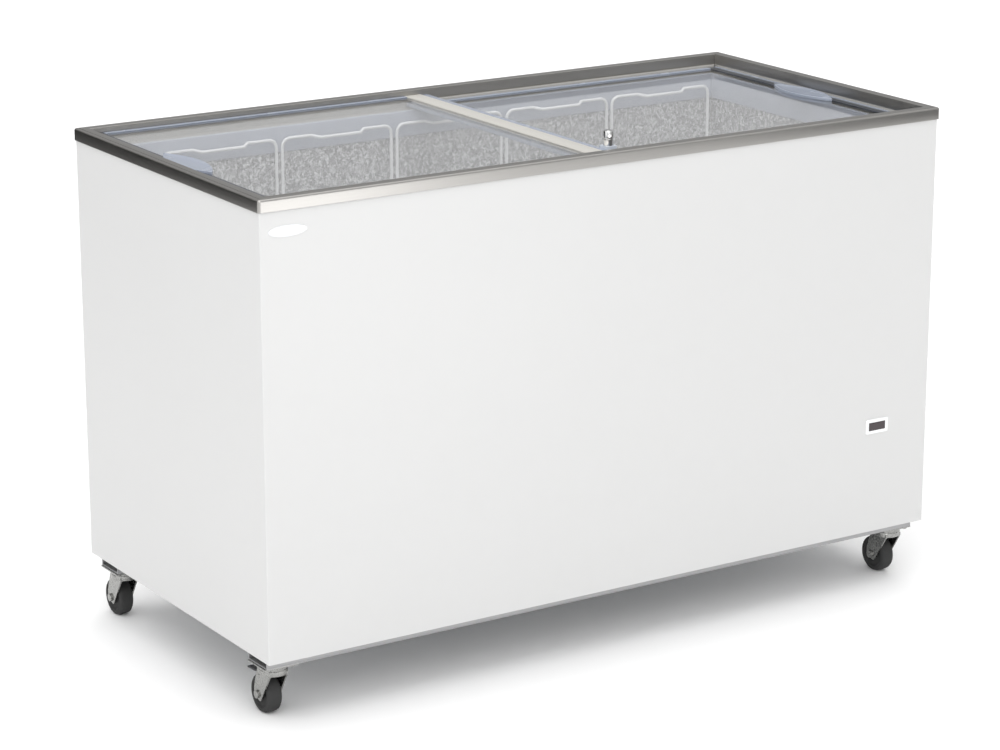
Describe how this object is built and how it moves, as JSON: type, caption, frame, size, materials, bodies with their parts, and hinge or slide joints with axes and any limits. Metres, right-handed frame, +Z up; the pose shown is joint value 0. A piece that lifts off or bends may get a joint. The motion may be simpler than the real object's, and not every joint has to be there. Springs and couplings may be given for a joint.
{
  "type": "chest freezer",
  "caption": "Chest freezer with sliding glass lids, a push lock, wire baskets, an aluminium rim and swivel casters with brakes at the front.",
  "frame": {"origin": "on the floor under the centre of the cabinet", "axes": "+X to the right along the length, +Y from the front to the back, +Z up"},
  "size_m": [1.3, 0.63, 0.8554],
  "materials": {
    "painted_steel": "smooth white powder coat on steel sheet",
    "rim_aluminium": "brushed anodised extrusion",
    "track_plastic": "blue-grey PVC, satin",
    "liner_aluminium": "stucco-embossed sheet",
    "galvanised_steel": "galvanised sheet",
    "foam": "rigid polyurethane foam, cut",
    "copper": "drawn copper tube",
    "black_steel": "black painted steel",
    "black_rubber": "moulded rubber",
    "black_plastic": "black moulded plastic",
    "white_plastic": "white moulded plastic",
    "smoked_window": "dark clear window",
    "badge_silver": "blank silver plate",
    "lid_glass": "tempered glass",
    "lid_plastic": "translucent blue-grey edging",
    "stile_aluminium": "satin anodised",
    "lock_chrome": "polished",
    "caster_zinc": "bright zinc plate",
    "basket_wire": "white plastic-coated wire"
  },
  "bodies": {
    "cabinet": {"outer_shell": "painted_steel", "back_panel": "painted_steel", "bottom_pan": "galvanised_steel", "insulation_foam": "foam", "liner_strip": "liner_aluminium", "liner_side_sheets": "liner_aluminium", "base_channel_front": "galvanised_steel", "base_channel_rear": "galvanised_steel", "rim_front": "rim_aluminium", "rim_rear": "rim_aluminium", "rim_left": "rim_aluminium", "rim_right": "rim_aluminium", "lid_track_front": "track_plastic", "lid_track_rear": "track_plastic", "lid_track_left": "track_plastic", "lid_track_right": "track_plastic", "badge_plate": "badge_silver", "thermometer_body": "white_plastic", "thermometer_window": "smoked_window", "compressor_shell": "black_steel", "compressor_tray": "galvanised_steel", "compressor_grommets": "black_rubber", "terminal_box": "black_plastic", "refrigerant_pipes": "copper", "evaporator_coil": "copper", "condenser_coil": "copper", "vent_cover": "painted_steel", "vent_screws": "caster_zinc", "cord_gland": "black_plastic", "drain_tube": "white_plastic", "drain_plug": "black_rubber", "caster_plates": "caster_zinc", "caster_bolts": "caster_zinc"},
    "upper_lid": {"upper_lid_glass": "lid_glass", "upper_lid_runners": "lid_plastic", "upper_lid_end_profile": "lid_plastic", "upper_lid_stile": "stile_aluminium", "lock_block": "lid_plastic"},
    "lower_lid": {"lower_lid_glass": "lid_glass", "lower_lid_runners": "lid_plastic", "lower_lid_end_profile": "lid_plastic", "lower_lid_stile": "lid_plastic", "lock_keeper": "lid_plastic"},
    "lock_barrel": {"lock_barrel": "lock_chrome"},
    "lock_key_plug": {"lock_key_plug": "lock_chrome"},
    "basket_1": {"basket_1": "basket_wire"},
    "basket_2": {"basket_2": "basket_wire"},
    "basket_3": {"basket_3": "basket_wire"},
    "basket_4": {"basket_4": "basket_wire"},
    "basket_5": {"basket_5": "basket_wire"},
    "caster_1_swivel": {"caster_1_fork": "caster_zinc"},
    "caster_1_wheel": {"caster_1_wheel": "black_rubber"},
    "caster_2_swivel": {"caster_2_fork": "caster_zinc"},
    "caster_2_wheel": {"caster_2_wheel": "black_rubber"},
    "caster_3_swivel": {"caster_3_fork": "caster_zinc"},
    "caster_3_wheel": {"caster_3_wheel": "black_rubber"},
    "caster_4_swivel": {"caster_4_fork": "caster_zinc"},
    "caster_4_wheel": {"caster_4_wheel": "black_rubber"},
    "caster_1_pedal": {"caster_1_pedal": "black_plastic"},
    "caster_2_pedal": {"caster_2_pedal": "black_plastic"}
  },
  "joints": [
    {"name": "upper_lid_slide", "type": "slide", "parent": "cabinet", "child": "upper_lid", "axis": [1, 0, 0], "range_m": [0, 0.56]},
    {"name": "lower_lid_slide", "type": "slide", "parent": "cabinet", "child": "lower_lid", "axis": [-1, 0, 0], "range_m": [0, 0.56]},
    {"name": "lock_push", "type": "slide", "parent": "upper_lid", "child": "lock_barrel", "axis": [0, 0, -1], "range_m": [0, 0.008], "stiffness_N_per_m": 600, "springref_m": -0.003},
    {"name": "lock_key_turn", "type": "hinge", "parent": "lock_barrel", "child": "lock_key_plug", "pos_m": [0.023, -0.242, 0.852], "axis": [0, 0, 1], "range_deg": [0, 90]},
    {"name": "basket_1_lift", "type": "slide", "parent": "cabinet", "child": "basket_1", "axis": [0, 0, 1], "range_m": [0, 0.014]},
    {"name": "basket_2_lift", "type": "slide", "parent": "cabinet", "child": "basket_2", "axis": [0, 0, 1], "range_m": [0, 0.014]},
    {"name": "basket_3_lift", "type": "slide", "parent": "cabinet", "child": "basket_3", "axis": [0, 0, 1], "range_m": [0, 0.014]},
    {"name": "basket_4_lift", "type": "slide", "parent": "cabinet", "child": "basket_4", "axis": [0, 0, 1], "range_m": [0, 0.014]},
    {"name": "basket_5_lift", "type": "slide", "parent": "cabinet", "child": "basket_5", "axis": [0, 0, 1], "range_m": [0, 0.014]},
    {"name": "caster_1_turn", "type": "hinge", "parent": "cabinet", "child": "caster_1_swivel", "pos_m": [-0.612, -0.26, 0.076], "axis": [0, 0, 1], "continuous": true},
    {"name": "caster_1_roll", "type": "hinge", "parent": "caster_1_swivel", "child": "caster_1_wheel", "pos_m": [-0.612, -0.237, 0.03125], "axis": [1, 0, 0], "continuous": true},
    {"name": "caster_1_brake", "type": "hinge", "parent": "caster_1_swivel", "child": "caster_1_pedal", "pos_m": [-0.612, -0.244, 0.0671], "axis": [-1, 0, 0], "range_deg": [0, 8]},
    {"name": "caster_2_turn", "type": "hinge", "parent": "cabinet", "child": "caster_2_swivel", "pos_m": [0.612, -0.26, 0.076], "axis": [0, 0, 1], "continuous": true},
    {"name": "caster_2_roll", "type": "hinge", "parent": "caster_2_swivel", "child": "caster_2_wheel", "pos_m": [0.612, -0.237, 0.03125], "axis": [1, 0, 0], "continuous": true},
    {"name": "caster_2_brake", "type": "hinge", "parent": "caster_2_swivel", "child": "caster_2_pedal", "pos_m": [0.612, -0.244, 0.0671], "axis": [-1, 0, 0], "range_deg": [0, 8]},
    {"name": "caster_3_turn", "type": "hinge", "parent": "cabinet", "child": "caster_3_swivel", "pos_m": [-0.612, 0.26, 0.076], "axis": [0, 0, 1], "continuous": true},
    {"name": "caster_3_roll", "type": "hinge", "parent": "caster_3_swivel", "child": "caster_3_wheel", "pos_m": [-0.612, 0.283, 0.03125], "axis": [1, 0, 0], "continuous": true},
    {"name": "caster_4_turn", "type": "hinge", "parent": "cabinet", "child": "caster_4_swivel", "pos_m": [0.612, 0.26, 0.076], "axis": [0, 0, 1], "continuous": true},
    {"name": "caster_4_roll", "type": "hinge", "parent": "caster_4_swivel", "child": "caster_4_wheel", "pos_m": [0.612, 0.283, 0.03125], "axis": [1, 0, 0], "continuous": true}
  ]
}
